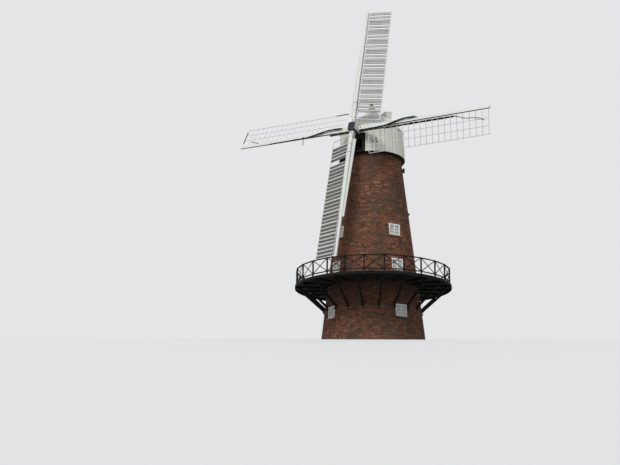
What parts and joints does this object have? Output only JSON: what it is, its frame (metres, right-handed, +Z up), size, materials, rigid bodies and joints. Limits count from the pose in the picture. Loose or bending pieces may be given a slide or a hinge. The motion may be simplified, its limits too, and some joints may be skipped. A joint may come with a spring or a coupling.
{
  "type": "tower windmill",
  "caption": "Brick tower windmill with a timber stage on struts, a boarded ogee cap with a fantail, and two shuttered and two cloth lattice sails.",
  "frame": {"origin": "centre of the tower's foot, on its axis", "axes": "+Z up the tower; the sails face -Y at rest; +X is to the right seen from the sails"},
  "size_m": [22.4468, 12.38, 28.3029],
  "materials": {
    "brick": "weathered red-brown brick with light mortar",
    "course_band": "lighter brick band",
    "ground_paving": "worn paving",
    "floor_timber": "plain boards",
    "window_paint": "white paint",
    "window_pane": "dark clear pane",
    "sill_stone": "pale stone",
    "door_paint": "dark paint",
    "stage_timber": "tarred near-black timber",
    "curb_timber": "bare timber",
    "frame_timber": "cream-white paint",
    "cap_paint": "cream-white paint over boards",
    "dark_iron": "near-black paint",
    "sail_paint": "white paint",
    "shutter_paint": "white painted canvas on frames",
    "sailcloth": "dark green cloth",
    "roll_cloth": "dark brown cloth",
    "fan_paint": "weathered greenish-grey paint"
  },
  "bodies": {
    "tower": {"window_walls": "brick", "plain_walls": "brick", "string_course": "course_band", "ground_floor": "ground_paving", "stage_floor": "floor_timber", "upper_floor": "floor_timber", "window_frames": "window_paint", "window_glass": "window_pane", "window_sills": "sill_stone", "door_frames": "window_paint", "door_leaves": "door_paint", "stage_deck": "stage_timber", "stage_fascia": "stage_timber", "stage_joists": "stage_timber", "stage_struts": "stage_timber", "stage_posts": "stage_timber", "top_rail": "stage_timber", "lower_rail": "stage_timber", "rail_braces": "stage_timber", "curb": "curb_timber"},
    "cap": {"cap_ring": "curb_timber", "sheers": "frame_timber", "shaft_frames": "frame_timber", "petticoat": "cap_paint", "cap_eaves": "cap_paint", "dome": "cap_paint", "finial": "cap_paint", "fan_frame": "frame_timber"},
    "sails": {"windshaft": "dark_iron", "poll_end": "dark_iron", "stocks": "sail_paint", "shuttered_whips": "sail_paint", "cloth_whips": "sail_paint", "stock_clamps": "dark_iron", "shuttered_frames": "sail_paint", "upper_shutters": "shutter_paint", "lower_shutters": "shutter_paint", "leading_boards": "sail_paint", "right_lattice": "sail_paint", "left_lattice": "sail_paint", "left_cloth": "sailcloth", "right_cloth": "sailcloth", "right_roll": "roll_cloth"},
    "fan": {"fan_hub": "fan_paint", "fan_blades": "fan_paint"}
  },
  "joints": [
    {"name": "cap_slew", "type": "hinge", "parent": "tower", "child": "cap", "pos_m": [0, 0, 15.4], "axis": [0, 0, 1], "continuous": true},
    {"name": "sail_spin", "type": "hinge", "parent": "cap", "child": "sails", "pos_m": [0, -3.48, 17.265], "axis": [0, -0.9865, 0.1635], "continuous": true},
    {"name": "fan_spin", "type": "hinge", "parent": "cap", "child": "fan", "pos_m": [0, 3.1, 19.7], "axis": [1, 0, 0], "continuous": true}
  ]
}
